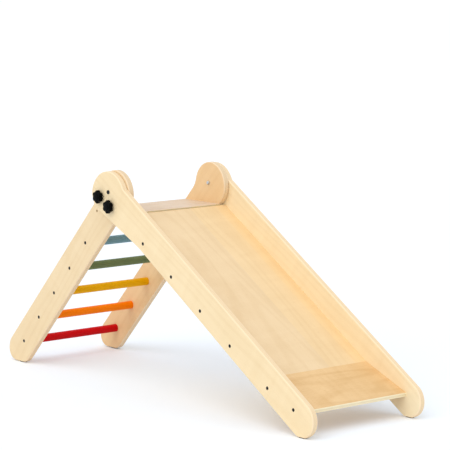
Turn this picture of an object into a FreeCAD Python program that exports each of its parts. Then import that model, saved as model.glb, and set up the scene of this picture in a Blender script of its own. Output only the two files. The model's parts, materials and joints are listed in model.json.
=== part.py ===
"""Children's climbing frame: a ladder of painted rungs hinged to a plywood slide.

Millimetres, +Z up, X along the frame (ladder foot at -X, slide foot at +X),
origin on the floor under the middle of the frame.
"""

import FreeCAD, Part
import math
import os

Vector = FreeCAD.Vector

# Driving dimensions of the frame
pivot_height = 561.0
overall_width = 400.0
slide_slope = 31.92
ladder_lean = 43.65
panel_thickness = 18.0
panel_gap = 1.2
edge_round = 3.0

# Slide side panels
slide_panel_width = 94.8
slide_panel_offset = -2.2
slide_head_radius = 77.0
slide_head_shift = (-5.0, -19.0)
slide_notch_fillet = 10.0
slide_chin_radius = 50.0
slide_taper_length = 187.2
slide_taper_angle = 6.34
slide_taper_blend = 300.0
slide_foot_round = 10.0

# Ladder side panels
ladder_panel_width = 100.8
ladder_panel_offset = 10.1
ladder_head_radius = 66.7
ladder_head_shift = (5.0, -5.5)
ladder_front_fillet = 60.0
ladder_rear_fillet = 20.0
ladder_foot_sink = 14.5
ladder_foot_round = 34.0

# Boards
board_thickness = 12.0
board_round = 2.0
board_tilt = 0.3
slide_board_drop = 23.5
bend_setback = 182.4
landing_bend = 10.6
landing_length = 170.0
board_end_radius = 80.0
platform_drop = 57.0
platform_gap = 1.0
platform_round = 4.0

# Rungs
rung_radius = 12.0
rung_first = 213.5
rung_foot_gap = 43.0
rung_socket = 5.0
rung_names = ("blue", "green", "yellow", "orange", "red")

# Screws
screw_head_radius = 5.0
screw_head_height = 3.0
screw_shank_radius = 2.5
screw_length = 55.0
small_head_radius = 3.8
small_shank_radius = 1.75
small_length = 45.0
hex_share = 0.55
hex_depth = 2.2
slide_screw_count = 4
slide_screw_rise = 2.0
slide_screw_top_margin = 126.0
slide_screw_bend_margin = 140.0
landing_screw_margins = (37.0, 22.0)
platform_screw_margins = (28.5, 36.0)

# Pivots
pivot_radius = 3.0
pivot_head_radius = 5.5
pivot_head_height = 2.5
pivot_nut_radius = 5.5
pivot_nut_height = 4.5
bush_radius = 6.0
bush_flange_radius = 10.0
bush_flange_height = 1.0
running_clearance = 0.05
face_clearance = 0.2

# Locking knobs and the curved grooves that their studs run in
knob_circle = 41.2
knob_angles = {"upper": -125.0, "lower": -44.0}
knob_radius = 19.0
knob_height = 17.0
knob_hub_radius = 10.0
knob_hub_height = 3.0
knob_round = 4.0
knob_standoff = 1.0
knob_lobes = 6
knob_scallop_radius = 7.0
knob_scallop_depth = 3.2
stud_radius = 4.0
stud_embed = 12.0
insert_radius = 5.5
insert_flange_radius = 9.0
insert_flange_height = 1.5
groove_depth = 8.0
groove_clearance = 0.4
stud_tip_clearance = 0.3
fold_range = 28.0

# Foot pads
ladder_pad_shift = 12.0
pad_length = 20.0
pad_thickness = 2.0
pad_round = 1.0

# Values that follow from the sizes above
half_width = overall_width / 2
slide_inner = half_width - panel_thickness
ladder_outer = slide_inner - panel_gap
ladder_inner = ladder_outer - panel_thickness
slide_foot_radius = slide_panel_width / 2
ladder_foot_radius = ladder_panel_width / 2
slide_board_slope = slide_slope - board_tilt
landing_slope = slide_slope - landing_bend
insert_bore_radius = stud_radius + running_clearance


def unit(degrees):
    """Unit vector in the XZ plane, at an angle above +X."""
    angle = math.radians(degrees)
    return Vector(math.cos(angle), 0, math.sin(angle))


slide_along = unit(-slide_slope)
slide_up = unit(90 - slide_slope)
ladder_along = unit(-90 - ladder_lean)
ladder_rear = unit(-ladder_lean)
board_along = unit(-slide_board_slope)
board_up = unit(90 - slide_board_slope)
landing_along = unit(-landing_slope)
landing_up = unit(90 - landing_slope)

slide_drop = pivot_height + slide_panel_offset * slide_up.z - slide_foot_radius
ladder_drop = pivot_height + ladder_panel_offset * ladder_rear.z - ladder_foot_radius + ladder_foot_sink
slide_length = slide_drop / -slide_along.z
ladder_length = ladder_drop / -ladder_along.z
slide_foot = slide_along * slide_length + slide_up * slide_panel_offset
ladder_foot = ladder_along * ladder_length + ladder_rear * ladder_panel_offset
slide_board_reach = slide_length - bend_setback
frame_middle = (slide_foot.x + slide_foot_radius + ladder_foot.x - ladder_foot_radius) / 2
pivot = Vector(-frame_middle, 0, pivot_height)
slide_head = pivot + Vector(slide_head_shift[0], 0, slide_head_shift[1])
ladder_head = pivot + Vector(ladder_head_shift[0], 0, ladder_head_shift[1])


def polygon_face(points):
    return Part.Face(Part.makePolygon(list(points) + [points[0]]))


def arc(first, middle, last):
    return Part.Arc(first, middle, last).toShape()


def line(first, last):
    return Part.makeLine(first, last)


def extrude(face, y_from, y_to):
    """Solid between two Y planes, from a face that lies at Y = 0."""
    moved = face.translated(Vector(0, y_from, 0))
    return moved.extrude(Vector(0, y_to - y_from, 0))


def cylinder_y(center, radius, y_from, y_to):
    base = Vector(center.x, y_from, center.z)
    direction = Vector(0, 1 if y_to > y_from else -1, 0)
    return Part.makeCylinder(radius, abs(y_to - y_from), base, direction)


def mirrored(shape):
    """The same piece on the other (+Y) side of the frame."""
    return shape.mirror(Vector(0, 0, 0), Vector(0, 1, 0))


def fuse(shapes):
    return shapes[0].multiFuse(list(shapes[1:])).removeSplitter()


def save(name, shape):
    shape.exportStep(os.path.join("parts", name + ".step"))


def throat(side, edge, disc, fillet):
    """Tangent points and middle of the hollow fillet between a head disc and a strip edge.

    The strip edge runs at a distance `edge` from the middle of the disc, on the side +1 or -1.
    """
    reach = disc + fillet
    center_v = edge + fillet
    center_u = math.sqrt(reach ** 2 - center_v ** 2)
    on_line = (center_u, edge)
    on_disc = (center_u * disc / reach, center_v * disc / reach)
    turn_u = -center_u / reach
    turn_v = -center_v / reach - 1.0
    half = math.hypot(turn_u, turn_v)
    middle = (center_u + fillet * turn_u / half, center_v + fillet * turn_v / half)
    return [(u, side * v) for u, v in (on_line, middle, on_disc)]


def slide_underside(edge, disc):
    """Arcs under a slide head: from the strip to the taper, and from the taper round the chin to the disc."""
    slope = math.radians(slide_taper_angle)
    run = Vector(math.cos(slope), math.sin(slope), 0)
    normal = Vector(-math.sin(slope), math.cos(slope), 0)
    blend_u = slide_taper_length + slide_taper_blend * math.tan(slope / 2)
    blend_middle = Vector(blend_u, -edge - slide_taper_blend, 0)
    depth = edge * math.cos(slope) + slide_taper_length * math.sin(slope)
    shift = math.sqrt((disc - slide_chin_radius) ** 2 - (depth - slide_chin_radius) ** 2)
    chin_middle = normal * (slide_chin_radius - depth) - run * shift
    outward = chin_middle * (1 / chin_middle.Length)
    arcs = []
    for middle, radius, first, last in (
        (blend_middle, slide_taper_blend, Vector(0, 1, 0), normal),
        (chin_middle, slide_chin_radius, normal * -1, outward),
    ):
        between = (first + last).normalize()
        points = [middle + way * radius for way in (first, between, last)]
        arcs.append([(p.x, p.y) for p in points])
    return arcs


def ladder_front(edge, disc):
    """Arc on the front of a ladder head: the fillet from strip to disc."""
    return [throat(-1, edge, disc, ladder_front_fillet)]


def panel_face(head, disc, foot, width, along, across, fillet, low_side):
    """Outline of a side panel: a round head and a strip with a round foot.

    Head and foot are the middles of the round ends; the fillet lies on the +across side,
    and low_side gives the arcs on the -across side.
    """
    length = (foot - head).dot(along)
    offset = (foot - head).dot(across)

    def place(u, v):
        return head + along * u + across * v

    half = width / 2
    top = half + offset
    bottom = half - offset
    up_line, up_middle, up_disc = [place(*p) for p in throat(1, top, disc, fillet)]
    foot_top = place(length, top)
    foot_bottom = place(length, -bottom)
    edges = [
        line(up_line, foot_top),
        arc(foot_top, place(length + half, offset), foot_bottom),
    ]
    here = foot_bottom
    for points in low_side(bottom, disc):
        first, middle, last = [place(*p) for p in points]
        edges.append(line(here, first))
        edges.append(arc(first, middle, last))
        here = last
    crown = disc * math.sqrt(0.5)
    edges.append(arc(here, place(-crown, crown), up_disc))
    edges.append(arc(up_disc, up_middle, up_line))
    return Part.Face(Part.Wire(edges))


def slide_face():
    return panel_face(
        slide_head,
        slide_head_radius,
        pivot + slide_foot,
        slide_panel_width,
        slide_along,
        slide_up,
        slide_notch_fillet,
        slide_underside,
    )


def ladder_face():
    return panel_face(
        ladder_head,
        ladder_head_radius,
        pivot + ladder_foot,
        ladder_panel_width,
        ladder_along,
        ladder_rear,
        ladder_rear_fillet,
        ladder_front,
    )


def on_pad(edge):
    """True for an edge along Y at the height of the pads' top."""
    return runs_across(edge) and abs(edge.Vertexes[0].Z - pad_thickness) < 1e-6


def rounded_panel(face, y_from, y_to, foot_round):
    """Panel cut flat under the foot for its pad, with rounded corners and rims."""
    solid = extrude(face, y_from, y_to)
    box = solid.BoundBox
    corner = Vector(box.XMin, -half_width, box.ZMin)
    solid = solid.cut(Part.makeBox(box.XLength, overall_width, pad_thickness - box.ZMin, corner))
    solid = round_edges(solid, foot_round, on_pad)
    flat_faces = [f for f in solid.Faces if abs(f.normalAt(0, 0).y) > 0.99]
    rims = [edge for f in flat_faces for edge in f.Edges]
    return solid.makeFillet(edge_round, rims)


def hex_recess(center, y_face, radius):
    """Hexagon socket sunk into a head whose face lies at -Y."""
    corner = radius * hex_share
    points = []
    for step in range(6):
        turn = unit(60 * step) * corner
        points.append(Vector(center.x + turn.x, 0, center.z + turn.z))
    return extrude(polygon_face(points), y_face, y_face + hex_depth)


def screw_body(center, y_face, head_radius_, shank_radius, length):
    head = cylinder_y(center, head_radius_, y_face, y_face + screw_head_height)
    shank = cylinder_y(center, shank_radius, y_face, y_face + length)
    return fuse([head, shank])


def screw_set(centers, y_face, head_radius_, shank_radius, length):
    """Screws driven in from -Y, and the bodies that their holes are cut with."""
    bodies = [screw_body(c, y_face, head_radius_, shank_radius, length) for c in centers]
    screws = [b.cut(hex_recess(c, y_face, head_radius_)) for b, c in zip(bodies, centers)]
    return screws, bodies


def cut_all(shape, tools):
    for tool in tools:
        shape = shape.cut(tool)
    return shape


def spread(first, last, count):
    """Evenly spaced values from first to last."""
    return [first + (last - first) * i / (count - 1) for i in range(count)]


def both_sides(tools):
    return list(tools) + [mirrored(t) for t in tools]


def board(points, y_half):
    return extrude(polygon_face(points), -y_half, y_half)


def round_edges(solid, radius, test):
    edges = [e for e in solid.Edges if test(e)]
    return solid.makeFillet(radius, edges)


def runs_across(edge):
    """True for a straight edge along Y."""
    first, last = edge.Vertexes[0].Point, edge.Vertexes[-1].Point
    return (last - first).cross(Vector(0, 1, 0)).Length < 1e-6


def edge_at(point):
    """Test for the edge along Y that passes through a point of the XZ plane."""

    def test(edge):
        here = edge.Vertexes[0].Point
        return runs_across(edge) and math.hypot(here.x - point.x, here.z - point.z) < 1e-4

    return test


# Corners of the slide board and the landing board, in the XZ plane
slide_end_reach = math.sqrt(board_end_radius ** 2 - slide_board_drop ** 2)
slide_end_top = pivot + board_along * slide_end_reach - board_up * slide_board_drop
slide_end_bottom = slide_end_top - board_up * board_thickness
bend_top = pivot + board_along * slide_board_reach - board_up * slide_board_drop
bend_share = board_thickness / (1 + board_up.dot(landing_up))
bend_bottom = bend_top - (board_up + landing_up) * bend_share
landing_end_top = bend_top + landing_along * landing_length
landing_end_bottom = landing_end_top - landing_up * board_thickness

# Corners of the platform: its front is flush with the ladder's front edge,
# its rear is bevelled inside the circle that clears the slide board's end as the ladder turns
platform_top = pivot.z - platform_drop
platform_bottom = platform_top - board_thickness
ladder_front_edge = ladder_panel_offset - ladder_panel_width / 2
front_run = (platform_drop + ladder_front_edge * ladder_rear.z) / -ladder_along.z
platform_front = pivot.x + ladder_along.x * front_run + ladder_rear.x * ladder_front_edge
turning_radius = board_end_radius - platform_gap


def rear_x(z):
    return pivot.x + math.sqrt(turning_radius ** 2 - (pivot.z - z) ** 2)


platform_corners = [
    Vector(platform_front, 0, platform_top),
    Vector(rear_x(platform_top), 0, platform_top),
    Vector(rear_x(platform_bottom), 0, platform_bottom),
    Vector(platform_front, 0, platform_bottom),
]

# Centres of the screws and the rungs
screw_line = board_up * (slide_board_drop + board_thickness / 2 - slide_screw_rise)
slide_screw_centers = [
    pivot + board_along * reach - screw_line
    for reach in spread(
        slide_end_reach + slide_screw_top_margin,
        slide_board_reach - slide_screw_bend_margin,
        slide_screw_count,
    )
]
landing_middle = bend_top - landing_up * (board_thickness / 2)
landing_screw_centers = [
    landing_middle + landing_along * landing_screw_margins[0],
    landing_middle + landing_along * (landing_length - landing_screw_margins[1]),
]
platform_middle = (platform_top + platform_bottom) / 2
platform_screw_centers = [
    Vector(platform_front + platform_screw_margins[0], 0, platform_middle),
    Vector(rear_x(platform_middle) - platform_screw_margins[1], 0, platform_middle),
]
rung_axis = pivot + ladder_rear * ladder_panel_offset
rung_centers = [
    rung_axis + ladder_along * reach
    for reach in spread(rung_first, ladder_length - rung_foot_gap, len(rung_names))
]
knob_centers = {
    name: pivot + unit(angle - slide_slope) * knob_circle for name, angle in knob_angles.items()
}

# Screws of the -Y side
board_screws, board_screw_holes = screw_set(
    slide_screw_centers + landing_screw_centers,
    -half_width,
    screw_head_radius,
    screw_shank_radius,
    screw_length,
)
rung_screws, rung_screw_holes = screw_set(
    rung_centers, -ladder_outer, screw_head_radius, screw_shank_radius, screw_length
)
fixing_screws, fixing_screw_holes = screw_set(
    platform_screw_centers, -ladder_outer, small_head_radius, small_shank_radius, small_length
)


def make_insert(center):
    """Flanged threaded sleeve, its flange let into the panel's inner face."""
    sleeve = cylinder_y(center, insert_radius, -half_width, -slide_inner)
    flange = cylinder_y(
        center, insert_flange_radius, -slide_inner - insert_flange_height, -slide_inner
    )
    return fuse([sleeve, flange])


def groove(angle):
    """Curved blind groove in the ladder head, from the stud's place through the fold range."""
    half = stud_radius + groove_clearance
    start = angle - slide_slope
    end = start - fold_range
    middle = (start + end) / 2
    inner = knob_circle - half
    outer = knob_circle + half

    def at(degrees, radius):
        return pivot + unit(degrees) * radius

    def cap(degrees, side):
        center = at(degrees, knob_circle)
        return center + unit(degrees + side * 90) * half

    edges = [
        arc(at(start, outer), at(middle, outer), at(end, outer)),
        arc(at(end, outer), cap(end, -1), at(end, inner)),
        arc(at(end, inner), at(middle, inner), at(start, inner)),
        arc(at(start, inner), cap(start, 1), at(start, outer)),
    ]
    face = Part.Face(Part.Wire(edges))
    return extrude(face, -ladder_outer, -ladder_outer + groove_depth)


def make_knob(center):
    """Lobed star knob: a rounded disc on a hub, scalloped round its rim."""
    base = -half_width - knob_standoff
    shoulder = knob_hub_height
    top = knob_height
    bend = knob_round * (1 - math.sqrt(0.5))
    profile = [
        line(Vector(0, 0, 0), Vector(knob_hub_radius, 0, 0)),
        line(Vector(knob_hub_radius, 0, 0), Vector(knob_hub_radius, 0, shoulder)),
        line(Vector(knob_hub_radius, 0, shoulder), Vector(knob_radius, 0, shoulder)),
        line(Vector(knob_radius, 0, shoulder), Vector(knob_radius, 0, top - knob_round)),
        arc(
            Vector(knob_radius, 0, top - knob_round),
            Vector(knob_radius - bend, 0, top - bend),
            Vector(knob_radius - knob_round, 0, top),
        ),
        line(Vector(knob_radius - knob_round, 0, top), Vector(0, 0, top)),
        line(Vector(0, 0, top), Vector(0, 0, 0)),
    ]
    axis = Vector(0, 0, 1)
    body = Part.Face(Part.Wire(profile)).revolve(Vector(0, 0, 0), axis, 360)
    scallop_circle = knob_radius + knob_scallop_radius - knob_scallop_depth
    for lobe in range(knob_lobes):
        turn = 2 * math.pi * lobe / knob_lobes
        place = Vector(scallop_circle * math.cos(turn), scallop_circle * math.sin(turn), shoulder)
        body = body.cut(Part.makeCylinder(knob_scallop_radius, top, place, axis))
    bore = Part.makeCylinder(stud_radius, stud_embed, Vector(0, 0, 0), axis)
    body = body.cut(bore)
    body.rotate(Vector(0, 0, 0), Vector(1, 0, 0), 90)
    body.translate(Vector(center.x, base, center.z))
    return body


def make_stud(center):
    """Threaded stud from inside the knob to the floor of the groove."""
    head = -half_width - knob_standoff - stud_embed
    tip = -ladder_outer + groove_depth - stud_tip_clearance
    return cylinder_y(center, stud_radius, head, tip)


def make_pivot_bolt():
    head = cylinder_y(pivot, pivot_head_radius, -half_width - pivot_head_height, -half_width)
    nut_end = -ladder_inner + face_clearance + pivot_nut_height / 2
    shank = cylinder_y(pivot, pivot_radius, -half_width - pivot_head_height, nut_end)
    bolt = fuse([head, shank])
    return bolt.cut(hex_recess(pivot, -half_width - pivot_head_height, pivot_head_radius))


def make_pivot_nut():
    """Domed nut on the inner end of the pivot bolt."""
    start = -ladder_inner + face_clearance
    nut = cylinder_y(pivot, pivot_nut_radius, start, start + pivot_nut_height)
    rim = [
        e for e in nut.Edges
        if all(abs(v.Point.y - start - pivot_nut_height) < 1e-6 for v in e.Vertexes)
    ]
    nut = nut.makeFillet(pivot_nut_height / 2, rim)
    return nut.cut(cylinder_y(pivot, pivot_radius, start, start + pivot_nut_height / 2))


def bush_body():
    sleeve = cylinder_y(pivot, bush_radius, -ladder_outer, -ladder_inner)
    flange = cylinder_y(
        pivot, bush_flange_radius, -ladder_outer - bush_flange_height, -ladder_outer
    )
    return fuse([sleeve, flange])


def make_pad(x, y_from, y_to):
    """Flat rubber pad under a foot."""
    corner = Vector(x - pad_length / 2, y_from + edge_round, 0)
    pad = Part.makeBox(pad_length, y_to - y_from - 2 * edge_round, pad_thickness, corner)
    upright = [e for e in pad.Edges if abs(e.Vertexes[0].Z - e.Vertexes[-1].Z) > pad_round]
    return pad.makeFillet(pad_round, upright)


def make_slide_panel():
    panel = rounded_panel(slide_face(), -half_width, -slide_inner, slide_foot_round)
    panel = cut_all(panel, board_screw_holes)
    panel = cut_all(panel, [make_insert(c) for c in knob_centers.values()])
    return panel.cut(cylinder_y(pivot, pivot_radius, -half_width, -slide_inner))


def make_ladder_panel():
    panel = rounded_panel(ladder_face(), -ladder_outer, -ladder_inner, ladder_foot_round)
    sockets = [
        cylinder_y(c, rung_radius, -ladder_inner - rung_socket, -ladder_inner) for c in rung_centers
    ]
    panel = cut_all(panel, sockets + rung_screw_holes + fixing_screw_holes)
    panel = cut_all(panel, [groove(angle) for angle in knob_angles.values()])
    return panel.cut(bush_body())


def make_rung(center):
    half = ladder_inner + rung_socket
    rung = cylinder_y(center, rung_radius, -half, half)
    return cut_all(rung, both_sides(rung_screw_holes))


def make_slide_board():
    solid = board([slide_end_top, bend_top, bend_bottom, slide_end_bottom], slide_inner)
    solid = round_edges(solid, board_round, edge_at(slide_end_top))
    return cut_all(solid, both_sides(board_screw_holes))


def make_landing_board():
    solid = board([bend_top, landing_end_top, landing_end_bottom, bend_bottom], slide_inner)
    solid = round_edges(solid, board_round, edge_at(landing_end_top))
    return cut_all(solid, both_sides(board_screw_holes))


def make_platform():
    solid = board(platform_corners, ladder_inner)
    solid = round_edges(solid, platform_round, edge_at(platform_corners[0]))
    return cut_all(solid, both_sides(fixing_screw_holes))


def save_pair(name, shape):
    """A piece of the -Y (right) side and its mirror image on the left."""
    save(name + "_right", shape)
    save(name + "_left", mirrored(shape))


os.makedirs("parts", exist_ok=True)

save_pair("slide_side", make_slide_panel())
save_pair("ladder_side", make_ladder_panel())
save("slide_board", make_slide_board())
save("landing_board", make_landing_board())
save("platform_board", make_platform())
for rung_name, rung_center in zip(rung_names, rung_centers):
    save("rung_" + rung_name, make_rung(rung_center))
for knob_name, knob_center in knob_centers.items():
    insert = make_insert(knob_center)
    bored = insert.cut(cylinder_y(knob_center, insert_bore_radius, -half_width, -slide_inner))
    save_pair("threaded_insert_" + knob_name, bored)
    save_pair("knob_" + knob_name, make_knob(knob_center))
    save_pair("knob_stud_" + knob_name, make_stud(knob_center))
save_pair("pivot_bolt", make_pivot_bolt())
save_pair("pivot_nut", make_pivot_nut())
bush_bore = cylinder_y(
    pivot, pivot_radius + running_clearance, -ladder_outer - bush_flange_height, -ladder_inner
)
save_pair("pivot_bush", bush_body().cut(bush_bore))
save_pair("slide_screws", Part.Compound(board_screws))
save_pair("rung_screws", Part.Compound(rung_screws))
save_pair("platform_screws", Part.Compound(fixing_screws))
slide_pad_x = pivot.x + slide_foot.x
ladder_pad_x = pivot.x + ladder_foot.x + ladder_pad_shift
save_pair("slide_foot_pad", make_pad(slide_pad_x, -half_width, -slide_inner))
save_pair("ladder_foot_pad", make_pad(ladder_pad_x, -ladder_outer, -ladder_inner))
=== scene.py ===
"""Looks of the climbing frame: wood, paint and plastic finishes, knobs, studio and camera."""

import json
import math

import bpy
from mathutils import Matrix, Vector


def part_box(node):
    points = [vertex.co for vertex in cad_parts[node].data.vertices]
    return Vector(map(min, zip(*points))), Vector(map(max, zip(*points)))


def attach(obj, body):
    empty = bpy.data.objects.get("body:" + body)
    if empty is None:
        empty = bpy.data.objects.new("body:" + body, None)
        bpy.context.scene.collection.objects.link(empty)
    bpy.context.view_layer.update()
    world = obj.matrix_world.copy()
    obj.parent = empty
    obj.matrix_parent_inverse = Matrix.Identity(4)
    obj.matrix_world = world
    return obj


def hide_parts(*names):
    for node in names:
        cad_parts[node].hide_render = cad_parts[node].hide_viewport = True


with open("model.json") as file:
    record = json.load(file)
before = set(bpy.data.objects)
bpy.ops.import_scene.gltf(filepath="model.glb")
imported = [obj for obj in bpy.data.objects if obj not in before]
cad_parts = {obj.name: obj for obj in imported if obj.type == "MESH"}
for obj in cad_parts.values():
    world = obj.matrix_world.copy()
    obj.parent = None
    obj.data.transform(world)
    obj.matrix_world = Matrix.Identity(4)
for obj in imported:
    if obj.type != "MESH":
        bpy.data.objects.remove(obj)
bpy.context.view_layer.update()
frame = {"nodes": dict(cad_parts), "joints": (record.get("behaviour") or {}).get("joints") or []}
nodes = frame["nodes"]
joints = {joint["name"]: joint for joint in frame["joints"]}

# Sizes of the frame that the finishes follow, in metres and degrees
PIVOT = Vector(joints["ladder_fold"]["pos_m"])
SLIDE_SLOPE = 31.92
BOARD_SLOPE = 31.62
LANDING_SLOPE = 21.32
LADDER_LEAN = 43.65
PANEL_PLIES = 13
BOARD_PLIES = 9
BOARD_THICKNESS = 0.012
ACROSS = Vector((0.0, 1.0, 0.0))
UP = Vector((0.0, 0.0, 1.0))
SIDES = ("right", "left")
KNOBS = ("upper", "lower")

# Camera: the photograph is 450 pixels wide, and its view was fitted to the frame's outlines
IMAGE_WIDTH = 450
FOCAL_PIXELS = 2246.6
SENSOR_MM = 36.0
CAMERA_AZIMUTH = 50.503
CAMERA_ELEVATION = 7.719
CAMERA_DISTANCE = 6.2518
CAMERA_TARGET = Vector((0.10793, 0.0, 0.47897))

# Studio
FLOOR_SIZE = 160.0
FLOOR_SEEN = (0.89, 0.93, 0.98)
FLOOR_BOUNCE = (0.90, 0.92, 0.95)
FLOOR_GLOW = 0.08
FLOOR_GLOW_COLOR = (1.0, 1.0, 1.0, 1.0)
FLOOR_ROUGHNESS = 0.9
SKY_STRENGTH = 0.84
SKY_COLOR = (0.95, 1.0, 1.07, 1.0)
BACKDROP_STRENGTH = 1.0
BACKDROP_COLOR = (1.0, 1.0, 1.0, 1.0)
KEY_DIRECTION = Vector((-0.20, 0.62, -0.76))
KEY_STRENGTH = 1.05
KEY_ANGLE = 60.0
KEY_COLOR = (1.0, 0.93, 0.84)

# Linear colours of the birch veneers, and the contrast of their grain; the far panels' tones carry
# painted light and shade
BIRCH_SLIDE = (0.950, 0.765, 0.482)
# Far slide panel: paler than the near one, painted light for its face inside the frame, which lies in
# shade between the panels
SLIDE_FAR_PAINTED_LIGHT = (0.970, 0.820, 0.555)
BIRCH_LADDER = (0.885, 0.700, 0.440)
# Far ladder panel: darker and more orange than the near one, painted shade for its face inside the frame
LADDER_FAR_PAINTED_SHADE = (0.890, 0.630, 0.345)
BIRCH_BOARD = (0.898, 0.688, 0.424)
BIRCH_WARM = (0.925, 0.700, 0.410)
BIRCH_GOLD = (0.940, 0.700, 0.390)
BIRCH_LANDING = (0.880, 0.610, 0.315)
BIRCH_PALE = (0.800, 0.640, 0.490)
DARK_GRAIN = (0.82, 0.74, 0.62)
PANEL_CONTRAST = 0.65
BOARD_CONTRAST = 0.8
LANDING_CONTRAST = 1.4
WOOD_ROUGHNESS = 0.45
WOOD_SPECULAR = 0.25

# Bands of other tones on the slide board's face, beside the first tone: distance across the grain where
# each starts
SLIDE_STRIPS = ((0.05, BIRCH_WARM), (0.143, BIRCH_GOLD))
STRIP_JOINT = 0.0012

# Cut edges: colours, and how much the cross layers and the glue lines darken them
EDGE_SLIDE = (0.965, 0.765, 0.495)
EDGE_LADDER = (0.880, 0.690, 0.450)
EDGE_BOARD = (1.000, 0.880, 0.600)
CROSS_PLY = (0.93, 0.88, 0.82)
GLUE_LINE = (0.78, 0.68, 0.56)
GLUE_STRENGTH = 0.6
# Where a glue line begins and where it is full, in layers from the middle of a layer
GLUE_RISE = (0.38, 0.49)
# Share of the outer layer's depth that has the face's colour in full
VENEER_SHARE = 0.9

# Painted highlight: paler wood on the rounding of the edges, standing in for light caught there, and the
# depths below the face where it lies
RIM_HIGHLIGHT_TONE = (1.03, 1.01, 1.03)
RIM_START = 0.0003
RIM_END = 0.0030
RIM_BLUR = 0.0004

# Noise scales per metre along the grain, across it and into the sheet
GROWTH_SCALES = (0.7, 6.0, 30.0)
FIBRE_SCALES = (18.0, 620.0, 620.0)
PORE_SCALES = (70.0, 1100.0, 1100.0)
CURL_SCALES = (26.0, 5.0, 30.0)
PATCH_SCALES = (2.2, 14.0, 30.0)
END_GRAIN_SCALES = (300.0, 300.0, 900.0)
# Radians of the growth lines' wave over the range of the growth noise
GROWTH_RADIANS = 85.0
# Levels between which the wave becomes a line, and noise becomes a pore
LINE_LEVELS = (-0.2, 1.0)
PORE_LEVELS = (0.60, 0.74)
# Share of each pattern in the grain's darkness, which starts below zero
LINE_SHARE = 0.20
FIBRE_SHARE = 0.40
PORE_SHARE = 0.40
CURL_SHARE = 0.55
PATCH_SHARE = 0.75
GRAIN_START = -0.60

# Paints of the rungs, and noise scales of a dowel along X, Y and Z
RUNG_PAINTS = {
    "blue": (0.172, 0.316, 0.376),
    "green": (0.150, 0.190, 0.080),
    "yellow": (0.840, 0.410, 0.000),
    "orange": (0.980, 0.215, 0.000),
    "red": (0.590, 0.002, 0.005),
}
DOWEL_GRAIN_SCALES = (480.0, 12.0, 480.0)
DOWEL_CLOUD_SCALES = (60.0, 18.0, 60.0)
# Share of each in the paint's tone
DOWEL_GRAIN_SHARE = 0.4
DOWEL_CLOUD_SHARE = 0.6

# Stops of the colour ramps: position in the noise, and shade of the colour
LONG_LAYER_SHADES = ((0.3, 0.94), (0.7, 1.0))
CROSS_LAYER_SHADES = ((0.3, 0.90), (0.7, 1.08))
PAINT_SHADES = ((0.30, 0.92), (0.5, 1.0), (0.7, 1.05))
PLASTIC_SHADES = ((0.35, 0.9), (0.75, 1.3))
METAL_SHADES = ((0.3, 0.82), (0.7, 1.15))
RUBBER_SHADES = ((0.35, 0.85), (0.7, 1.3))

# Colours of the hardware, and how far the roughness of metal varies
BLACK_STEEL = (0.030, 0.032, 0.034)
ZINC = (0.55, 0.55, 0.54)
BRASS = (0.50, 0.33, 0.16)
PAD_RUBBER = (0.035, 0.034, 0.033)
NYLON = (0.72, 0.70, 0.65)
KNOB_BLACK = (0.0008, 0.0008, 0.0009)
METAL_ROUGHNESS_SPAN = 0.14

# Star knobs: half the width of a knob's box over its radius, as notches lie at the box's sides
KNOB_REACH = 0.960
KNOB_LOBES = 6
KNOB_POINTS = 192
# Shares of the knob's radius
KNOB_NOTCH = 0.16
KNOB_HUB = 0.59
KNOB_CAP = 0.60
# Shares of the knob's height
KNOB_HUB_TOP = 0.18
KNOB_SHOULDER = 0.20
KNOB_TOP = 0.90
# How the notches narrow, the cap's flat middle as a share of the cap, and the steps of a round
KNOB_NOTCH_POWER = 1.2
KNOB_CAP_FLAT = 0.1
KNOB_ROUND_STEPS = 6
# Roundings and creases, in metres, and the angle of a sharp edge
KNOB_EDGE = 0.0035
KNOB_CHAMFER = 0.0016
KNOB_CHAMFER_STEP = 0.0005
KNOB_CREASE = 0.0004
KNOB_DOME_INSET = 0.0006
KNOB_SHARP_ANGLE = 50.0

# Colour sockets of a mix node
MIX_FIRST = 6
MIX_SECOND = 7
MIX_RESULT = 2


def in_plane(degrees):
    """Unit vector in the XZ plane, at an angle above +X."""
    angle = math.radians(degrees)
    return Vector((math.cos(angle), 0.0, math.sin(angle)))


def shade(color, factor):
    """Colour scaled by a number, or channel by channel by another colour."""
    factors = factor if isinstance(factor, tuple) else (factor,) * 3
    return tuple(min(1.0, channel * f) for channel, f in zip(color, factors))


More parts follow.
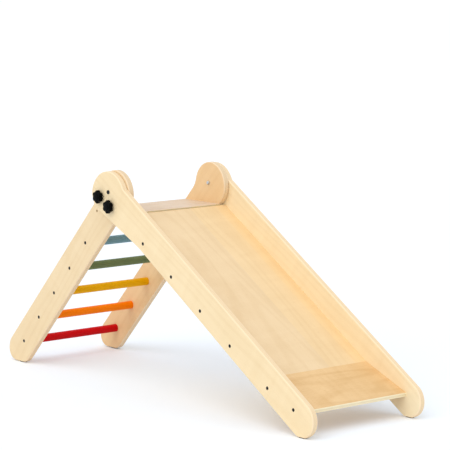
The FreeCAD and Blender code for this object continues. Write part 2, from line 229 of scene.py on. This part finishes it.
class Graph:
    """A node material with one Principled shader, built up by short calls."""

    def __init__(self, name):
        self.material = bpy.data.materials.new(name)
        self.material.use_nodes = True
        self.tree = self.material.node_tree
        self.tree.nodes.clear()
        output = self.tree.nodes.new("ShaderNodeOutputMaterial")
        self.shader = self.tree.nodes.new("ShaderNodeBsdfPrincipled")
        self.tree.links.new(self.shader.outputs["BSDF"], output.inputs["Surface"])
        coordinates = self.tree.nodes.new("ShaderNodeTexCoord")
        self.place = coordinates.outputs["Object"]

    def plug(self, value, socket):
        """Links a socket, or sets a plain number or vector."""
        if isinstance(value, bpy.types.NodeSocket):
            self.tree.links.new(value, socket)
        else:
            socket.default_value = value

    def math(self, operation, first, second=0.0, third=0.0, clamp=False):
        """Result of a math node, whose inputs are sockets or numbers."""
        node = self.tree.nodes.new("ShaderNodeMath")
        node.operation = operation
        node.use_clamp = clamp
        for value, socket in zip((first, second, third), node.inputs):
            self.plug(value, socket)
        return node.outputs[0]

    def along(self, direction, origin):
        """Distance of the surface point from an origin, along a direction."""
        offset = self.tree.nodes.new("ShaderNodeVectorMath")
        offset.operation = "SUBTRACT"
        self.plug(self.place, offset.inputs[0])
        offset.inputs[1].default_value = origin
        dot = self.tree.nodes.new("ShaderNodeVectorMath")
        dot.operation = "DOT_PRODUCT"
        self.plug(offset.outputs[0], dot.inputs[0])
        dot.inputs[1].default_value = direction
        return dot.outputs["Value"]

    def scaled(self, x, y, z, scales):
        """Vector of three distances, each by its own scale."""
        products = [self.math("MULTIPLY", d, s) for d, s in zip((x, y, z), scales)]
        node = self.tree.nodes.new("ShaderNodeCombineXYZ")
        for value, socket in zip(products, node.inputs):
            self.plug(value, socket)
        return node.outputs[0]

    def noise(self, vector, scale=1.0, detail=3.0, roughness=0.6, distortion=0.0):
        """Smooth random value at a place, about 0.5."""
        node = self.tree.nodes.new("ShaderNodeTexNoise")
        self.plug(vector, node.inputs["Vector"])
        node.inputs["Scale"].default_value = scale
        node.inputs["Detail"].default_value = detail
        node.inputs["Roughness"].default_value = roughness
        node.inputs["Distortion"].default_value = distortion
        return node.outputs["Fac"]

    def mottle(self, factor, color, stops):
        """Ramp through shades of one colour; stops are (position, shade)."""
        node = self.tree.nodes.new("ShaderNodeValToRGB")
        elements = node.color_ramp.elements
        while len(elements) < len(stops):
            elements.new(0.5)
        for element, (position, amount) in zip(elements, stops):
            element.position = position
            element.color = (*shade(color, amount), 1.0)
        self.plug(factor, node.inputs["Fac"])
        return node.outputs["Color"]

    def vary(self, factor, base, span):
        """A number that grows by a span with a factor from 0 to 1."""
        return self.math("MULTIPLY_ADD", factor, span, base)

    def step(self, value, low, high):
        """0 below low, 1 above high, smooth between them."""
        node = self.tree.nodes.new("ShaderNodeMapRange")
        node.interpolation_type = "SMOOTHSTEP"
        self.plug(value, node.inputs["Value"])
        node.inputs["From Min"].default_value = low
        node.inputs["From Max"].default_value = high
        return node.outputs["Result"]

    def blend(self, factor, first, second):
        """Mix of two colours; plain colours are three numbers."""
        node = self.tree.nodes.new("ShaderNodeMix")
        node.data_type = "RGBA"
        self.plug(factor, node.inputs["Factor"])
        for color, place in ((first, MIX_FIRST), (second, MIX_SECOND)):
            linked = isinstance(color, bpy.types.NodeSocket)
            self.plug(color if linked else (*color, 1.0), node.inputs[place])
        return node.outputs[MIX_RESULT]

    def bump(self, height, strength, distance):
        """Fine relief of the surface, from a height."""
        node = self.tree.nodes.new("ShaderNodeBump")
        node.inputs["Strength"].default_value = strength
        node.inputs["Distance"].default_value = distance
        self.plug(height, node.inputs["Height"])
        self.plug(node.outputs["Normal"], self.shader.inputs["Normal"])

    def finish(self, color, roughness, specular=0.5, metallic=0.0):
        """Colour and roughness may be linked; the other inputs are plain numbers."""
        self.plug(color, self.shader.inputs["Base Color"])
        self.plug(roughness, self.shader.inputs["Roughness"])
        self.shader.inputs["Specular IOR Level"].default_value = specular
        self.shader.inputs["Metallic"].default_value = metallic
        return self.material


def grain_darkness(graph, place):
    """How dark the veneer's grain is at a point, and its fibres.

    The darkness is a sum of growth lines, fibres, pores, curl and patches.
    """
    growth = graph.noise(graph.scaled(*place, GROWTH_SCALES), detail=2.0, roughness=0.45, distortion=0.3)
    wave = graph.math("SINE", graph.math("MULTIPLY", growth, GROWTH_RADIANS))
    lines = graph.step(wave, *LINE_LEVELS)
    fibres = graph.noise(graph.scaled(*place, FIBRE_SCALES))
    pores = graph.noise(graph.scaled(*place, PORE_SCALES), detail=1.0, roughness=0.5)
    pores = graph.step(pores, *PORE_LEVELS)
    curl = graph.noise(graph.scaled(*place, CURL_SCALES), detail=2.0, roughness=0.5, distortion=0.8)
    patches = graph.noise(graph.scaled(*place, PATCH_SCALES), roughness=0.5)
    patterns = (
        (lines, LINE_SHARE),
        (fibres, FIBRE_SHARE),
        (pores, PORE_SHARE),
        (curl, CURL_SHARE),
        (patches, PATCH_SHARE),
    )
    total = GRAIN_START
    for pattern, share in patterns:
        total = graph.math("MULTIPLY_ADD", pattern, share, total)
    return graph.math("MAXIMUM", total, 0.0), fibres


def veneer_face(graph, darkness, across, tone, strips):
    """Colour of a face, of one veneer or several strips, darkened by the grain."""
    face = tone
    dark_face = shade(tone, DARK_GRAIN)
    for start, strip_tone in strips:
        side = graph.step(across, start - STRIP_JOINT, start + STRIP_JOINT)
        face = graph.blend(side, face, strip_tone)
        dark_face = graph.blend(side, dark_face, shade(strip_tone, DARK_GRAIN))
    return graph.blend(darkness, face, dark_face)


def ply_edge(graph, place, fibres, layer, tone):
    """Colour of a cut edge: long and cross layers in turn, with glue lines between them."""
    crosswise = graph.math("MODULO", graph.math("FLOOR", layer), 2.0)
    ends = graph.noise(graph.scaled(*place, END_GRAIN_SCALES), roughness=0.7)
    long_layer = graph.mottle(fibres, tone, LONG_LAYER_SHADES)
    cross_layer = graph.mottle(ends, shade(tone, CROSS_PLY), CROSS_LAYER_SHADES)
    edge = graph.blend(crosswise, long_layer, cross_layer)
    from_middle = graph.math("ABSOLUTE", graph.math("SUBTRACT", graph.math("FRACT", layer), 0.5))
    glue = graph.math("MULTIPLY", graph.step(from_middle, *GLUE_RISE), GLUE_STRENGTH)
    return graph.blend(glue, edge, shade(tone, GLUE_LINE))


def painted_highlight_share(graph, below):
    """Share of the painted highlight: 1 on the rounding just below a face, 0 on the face and further in.
    """
    start = graph.step(below, RIM_START - RIM_BLUR / 2, RIM_START + RIM_BLUR / 2)
    end = graph.step(below, RIM_END - RIM_BLUR, RIM_END + RIM_BLUR)
    return graph.math("SUBTRACT", start, end)


def plywood(name, grain, normal, origin, thickness, plies, tones, strips=(), contrast=1.0):
    """Birch plywood: a veneer face with its grain, and the layers where an edge cuts them.

    The grain and the normal of the sheet are unit vectors, and origin lies on one face.
    The tones are the face's and the edge's. Strips are (distance across the grain, tone) for a face
    made of bands in several tones.
    """
    tone, edge_tone = tones
    graph = Graph(name)
    along = graph.along(grain, origin)
    across = graph.along(normal.cross(grain), origin)
    depth = graph.along(normal, origin)
    place = (along, across, depth)
    darkness, fibres = grain_darkness(graph, place)
    face_darkness = graph.math("MULTIPLY", darkness, contrast, clamp=True)
    face = veneer_face(graph, face_darkness, across, tone, strips)
    ply = thickness / plies
    edge = ply_edge(graph, place, fibres, graph.math("DIVIDE", depth, ply), edge_tone)

    half = thickness / 2
    from_core = graph.math("ABSOLUTE", graph.math("SUBTRACT", depth, half))
    is_face = graph.step(from_core, half - ply, half - VENEER_SHARE * ply)
    color = graph.blend(is_face, edge, face)
    # Painted highlight: a paler band along the rounding just below each face
    rim = painted_highlight_share(graph, graph.math("SUBTRACT", half, from_core))
    color = graph.blend(rim, color, shade(edge_tone, RIM_HIGHLIGHT_TONE))
    roughness = graph.vary(darkness, base=WOOD_ROUGHNESS, span=0.15)
    graph.bump(fibres, strength=0.06, distance=0.0004)
    return graph.finish(color, roughness, specular=WOOD_SPECULAR)


def painted_dowel(name, color):
    """Satin paint over a turned dowel, whose grain shows faintly through."""
    graph = Graph(name)
    low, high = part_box(name)
    center = (Vector(low) + Vector(high)) / 2
    place = [graph.along(Vector(axis), center) for axis in ((1, 0, 0), (0, 1, 0), (0, 0, 1))]
    grain = graph.noise(graph.scaled(*place, DOWEL_GRAIN_SCALES))
    cloud = graph.noise(graph.scaled(*place, DOWEL_CLOUD_SCALES), roughness=0.5)
    clouded = graph.math("MULTIPLY", cloud, DOWEL_CLOUD_SHARE)
    mixed = graph.math("MULTIPLY_ADD", grain, DOWEL_GRAIN_SHARE, clouded)
    tone = graph.mottle(mixed, color, PAINT_SHADES)
    roughness = graph.vary(cloud, base=0.36, span=0.14)
    graph.bump(grain, strength=0.05, distance=0.0003)
    return graph.finish(tone, roughness, specular=0.08)


def moulded_plastic(name, color, specular):
    """Moulded plastic with a fine matt texture and lightly rubbed high spots."""
    graph = Graph(name)
    grit = graph.noise(graph.place, scale=2600.0, detail=2.0)
    wear = graph.noise(graph.place, scale=160.0, detail=4.0)
    tone = graph.mottle(wear, color, PLASTIC_SHADES)
    roughness = graph.vary(wear, base=0.38, span=0.20)
    graph.bump(grit, strength=0.10, distance=0.0002)
    return graph.finish(tone, roughness, specular=specular)


def metal(name, color, roughness, metallic):
    """Plated or blackened steel with faint turning marks."""
    graph = Graph(name)
    marks = graph.noise(graph.place, scale=900.0)
    tone = graph.mottle(marks, color, METAL_SHADES)
    smoothest = roughness - METAL_ROUGHNESS_SPAN / 2
    gloss = graph.vary(marks, base=smoothest, span=METAL_ROUGHNESS_SPAN)
    graph.bump(marks, strength=0.06, distance=0.0001)
    return graph.finish(tone, gloss, metallic=metallic)


def rubber(name, color):
    """Matt rubber with a fine grain and a little dust."""
    graph = Graph(name)
    grain = graph.noise(graph.place, scale=1400.0)
    dust = graph.noise(graph.place, scale=120.0)
    tone = graph.mottle(dust, color, RUBBER_SHADES)
    roughness = graph.vary(dust, base=0.72, span=0.12)
    graph.bump(grain, strength=0.20, distance=0.0002)
    return graph.finish(tone, roughness, specular=0.25)


def assign(node_name, material):
    """Gives the solids of a node one material."""
    mesh = nodes[node_name].data
    mesh.materials.clear()
    mesh.materials.append(material)


def finish_panels():
    """Side panels: the sheet lies across Y, the grain runs down each strip."""
    down_slide = in_plane(-SLIDE_SLOPE)
    down_ladder = in_plane(-90 - LADDER_LEAN)
    lay = {
        "slide_side_right": (down_slide, BIRCH_SLIDE, EDGE_SLIDE),
        # The far slide panel's colour is painted light
        "slide_side_left": (down_slide, SLIDE_FAR_PAINTED_LIGHT, EDGE_SLIDE),
        "ladder_side_right": (down_ladder, BIRCH_LADDER, EDGE_LADDER),
        # The far ladder panel's colour is painted shade
        "ladder_side_left": (down_ladder, LADDER_FAR_PAINTED_SHADE, EDGE_LADDER),
    }
    for node, (grain, *tones) in lay.items():
        low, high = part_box(node)
        origin = Vector((PIVOT.x, low[1], PIVOT.z))
        thickness = high[1] - low[1]
        panel = plywood(
            node, grain, ACROSS, origin, thickness, PANEL_PLIES, tones, contrast=PANEL_CONTRAST
        )
        assign(node, panel)


def finish_boards():
    """Slide board in lengthwise bands of tone, landing with its grain across, pale platform."""
    board_up = in_plane(90 - BOARD_SLOPE)
    landing_up = in_plane(90 - LANDING_SLOPE)
    slide_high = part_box("slide_board")[1]
    landing_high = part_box("landing_board")[1]
    bend = Vector((slide_high[0], 0.0, landing_high[2]))
    slide = plywood(
        "slide_board", in_plane(-BOARD_SLOPE), board_up, bend - board_up * BOARD_THICKNESS,
        BOARD_THICKNESS, BOARD_PLIES, (BIRCH_BOARD, EDGE_BOARD), SLIDE_STRIPS, BOARD_CONTRAST,
    )
    assign("slide_board", slide)
    landing = plywood(
        "landing_board", ACROSS, landing_up, bend - landing_up * BOARD_THICKNESS,
        BOARD_THICKNESS, BOARD_PLIES, (BIRCH_LANDING, EDGE_BOARD), contrast=LANDING_CONTRAST,
    )
    assign("landing_board", landing)
    low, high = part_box("platform_board")
    platform = plywood(
        "platform_board", ACROSS, UP, Vector(low), high[2] - low[2], BOARD_PLIES,
        (BIRCH_PALE, EDGE_BOARD),
    )
    assign("platform_board", platform)


def finish_rungs():
    """Painted dowels, each in the colour of its name."""
    for color_name, color in RUNG_PAINTS.items():
        node = f"rung_{color_name}"
        assign(node, painted_dowel(node, color))


def finish_hardware():
    """Screws, bolts, nuts, bushes, inserts, studs and foot pads."""
    black = metal("black_steel", BLACK_STEEL, roughness=0.38, metallic=0.75)
    zinc = metal("zinc_steel", ZINC, roughness=0.32, metallic=1.0)
    brass = metal("brass", BRASS, roughness=0.40, metallic=0.9)
    pad = rubber("pad_rubber", PAD_RUBBER)
    nylon = moulded_plastic("nylon", NYLON, specular=0.4)
    finishes = {
        "slide_screws": black,
        "rung_screws": black,
        "platform_screws": brass,
        "pivot_bolt": black,
        "pivot_nut": zinc,
        "pivot_bush": nylon,
        "slide_foot_pad": pad,
        "ladder_foot_pad": pad,
    }
    for knob in KNOBS:
        finishes[f"threaded_insert_{knob}"] = zinc
        finishes[f"knob_stud_{knob}"] = zinc
    for part, material in finishes.items():
        for side in SIDES:
            assign(f"{part}_{side}", material)


def knob_rings(radius, height):
    """Height, radius and how far the lobes show, from the hub's foot to the middle of the cap."""
    hub = KNOB_HUB * radius
    cap = KNOB_CAP * radius
    dome = cap - KNOB_DOME_INSET
    shoulder = KNOB_SHOULDER * height
    top = KNOB_TOP * height
    quarter = [math.pi / 2 * i / KNOB_ROUND_STEPS for i in range(KNOB_ROUND_STEPS + 1)]
    rings = [
        (0.0, hub - KNOB_CREASE, 0.0),
        (KNOB_CREASE, hub, 0.0),
        (KNOB_HUB_TOP * height, hub, 0.0),
        (shoulder, radius - KNOB_CHAMFER, 1.0),
        (shoulder + KNOB_CHAMFER_STEP, radius - KNOB_CHAMFER_STEP, 1.0),
        (shoulder + KNOB_CHAMFER, radius, 1.0),
    ]
    for turn in quarter:
        level = top - KNOB_EDGE + KNOB_EDGE * math.sin(turn)
        rings.append((level, radius - KNOB_EDGE + KNOB_EDGE * math.cos(turn), 1.0))
    rings.append((top, cap + 2 * KNOB_CREASE, 0.0))
    rings.append((top - KNOB_CREASE, cap, 0.0))
    for turn in quarter[:-1]:
        rings.append((top + (height - top) * math.sin(turn), dome * math.cos(turn), 0.0))
    rings.append((height, KNOB_CAP_FLAT * cap, 0.0))
    return rings


def knob_mesh(name, radius, height):
    """Star knob about +Z, its base at Z = 0: a hub, a lobed grip with soft edges and a domed cap."""
    rings = knob_rings(radius, height)
    around = [2 * math.pi * k / KNOB_POINTS for k in range(KNOB_POINTS)]
    points = []
    for level, size, lobed in rings:
        for turn in around:
            wave = 0.5 + 0.5 * math.cos(KNOB_LOBES * turn)
            reach = size - KNOB_NOTCH * radius * wave ** KNOB_NOTCH_POWER * lobed
            points.append((reach * math.cos(turn), reach * math.sin(turn), level))
    faces = []
    for ring in range(len(rings) - 1):
        for k in range(KNOB_POINTS):
            first = ring * KNOB_POINTS + k
            second = ring * KNOB_POINTS + (k + 1) % KNOB_POINTS
            faces.append((first, second, second + KNOB_POINTS, first + KNOB_POINTS))
    faces.append(tuple(reversed(range(KNOB_POINTS))))
    last = (len(rings) - 1) * KNOB_POINTS
    faces.append(tuple(range(last, last + KNOB_POINTS)))
    mesh = bpy.data.meshes.new(name)
    mesh.from_pydata(points, [], faces)
    mesh.shade_smooth()
    mesh.set_sharp_from_angle(angle=math.radians(KNOB_SHARP_ANGLE))
    return mesh


def build_knobs():
    """Moulded star knobs in place of the plainer solids."""
    plastic = moulded_plastic("knob_plastic", KNOB_BLACK, specular=0.05)
    for knob in KNOBS:
        for side in SIDES:
            node = f"knob_{knob}_{side}"
            low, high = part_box(node)
            height = high[1] - low[1]
            radius = (high[0] - low[0]) / 2 / KNOB_REACH
            mesh = knob_mesh(f"star_{node}", radius, height)
            turn = math.radians(90 if side == "right" else -90)
            base = high[1] if side == "right" else low[1]
            middle = ((low[0] + high[0]) / 2, base, (low[2] + high[2]) / 2)
            mesh.transform(Matrix.Translation(middle) @ Matrix.Rotation(turn, 4, "X"))
            mesh.materials.append(plastic)
            piece = bpy.data.objects.new(f"star_{node}", mesh)
            bpy.context.scene.collection.objects.link(piece)
            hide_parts(node)
            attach(piece, node)


def seen_directly(tree):
    """1 where the camera sees a surface, itself or by a mirror or through glass, and 0 for bounces."""
    path = tree.nodes.new("ShaderNodeLightPath")
    seen = path.outputs["Is Camera Ray"]
    for ray in ("Is Glossy Ray", "Is Transmission Ray"):
        either = tree.nodes.new("ShaderNodeMath")
        either.operation = "MAXIMUM"
        tree.links.new(seen, either.inputs[0])
        tree.links.new(path.outputs[ray], either.inputs[1])
        seen = either.outputs[0]
    return seen


def build_floor():
    """Wide pale floor that takes the frame's shadow."""
    half = FLOOR_SIZE / 2
    mesh = bpy.data.meshes.new("floor")
    corners = [(-half, -half, 0.0), (half, -half, 0.0), (half, half, 0.0), (-half, half, 0.0)]
    mesh.from_pydata(corners, [], [(0, 1, 2, 3)])
    floor = bpy.data.objects.new("floor", mesh)
    bpy.context.scene.collection.objects.link(floor)
    graph = Graph("floor")
    seen = seen_directly(graph.tree)
    graph.shader.inputs["Emission Color"].default_value = FLOOR_GLOW_COLOR
    graph.plug(graph.math("MULTIPLY", seen, FLOOR_GLOW), graph.shader.inputs["Emission Strength"])
    floor_color = graph.blend(seen, FLOOR_BOUNCE, FLOOR_SEEN)
    mesh.materials.append(graph.finish(floor_color, FLOOR_ROUGHNESS, specular=0.0))


def build_key_light():
    """One wide soft light from above, on the side of the camera."""
    light = bpy.data.lights.new("key", "SUN")
    light.color = KEY_COLOR
    light.energy = KEY_STRENGTH
    light.angle = math.radians(KEY_ANGLE)
    key = bpy.data.objects.new("key", light)
    key.rotation_euler = KEY_DIRECTION.to_track_quat("-Z", "Y").to_euler()
    bpy.context.scene.collection.objects.link(key)


def build_sky():
    """Even sky that lights the frame, seen as a white backdrop."""
    world = bpy.data.worlds.new("studio")
    world.use_nodes = True
    tree = world.node_tree
    tree.nodes.clear()
    output = tree.nodes.new("ShaderNodeOutputWorld")
    mix = tree.nodes.new("ShaderNodeMixShader")
    tree.links.new(seen_directly(tree), mix.inputs["Fac"])
    lights = ((SKY_COLOR, SKY_STRENGTH), (BACKDROP_COLOR, BACKDROP_STRENGTH))
    for place, (color, strength) in enumerate(lights, start=1):
        background = tree.nodes.new("ShaderNodeBackground")
        background.inputs["Color"].default_value = color
        background.inputs["Strength"].default_value = strength
        tree.links.new(background.outputs[0], mix.inputs[place])
    tree.links.new(mix.outputs[0], output.inputs["Surface"])
    bpy.context.scene.world = world


def build_camera():
    """Camera at the photograph's viewpoint."""
    azimuth = math.radians(CAMERA_AZIMUTH)
    elevation = math.radians(CAMERA_ELEVATION)
    back = Vector((
        math.sin(azimuth) * math.cos(elevation),
        -math.cos(azimuth) * math.cos(elevation),
        math.sin(elevation),
    ))
    data = bpy.data.cameras.new("camera")
    data.sensor_width = SENSOR_MM
    data.lens = FOCAL_PIXELS / IMAGE_WIDTH * SENSOR_MM
    data.clip_end = 2 * FLOOR_SIZE
    camera = bpy.data.objects.new("camera", data)
    camera.location = CAMERA_TARGET + back * CAMERA_DISTANCE
    camera.rotation_euler = back.to_track_quat("Z", "Y").to_euler()
    bpy.context.scene.collection.objects.link(camera)
    bpy.context.scene.camera = camera


finish_panels()
finish_boards()
finish_rungs()
finish_hardware()
build_knobs()
build_floor()
build_key_light()
build_sky()
build_camera()
bpy.context.scene.view_settings.view_transform = "Standard"
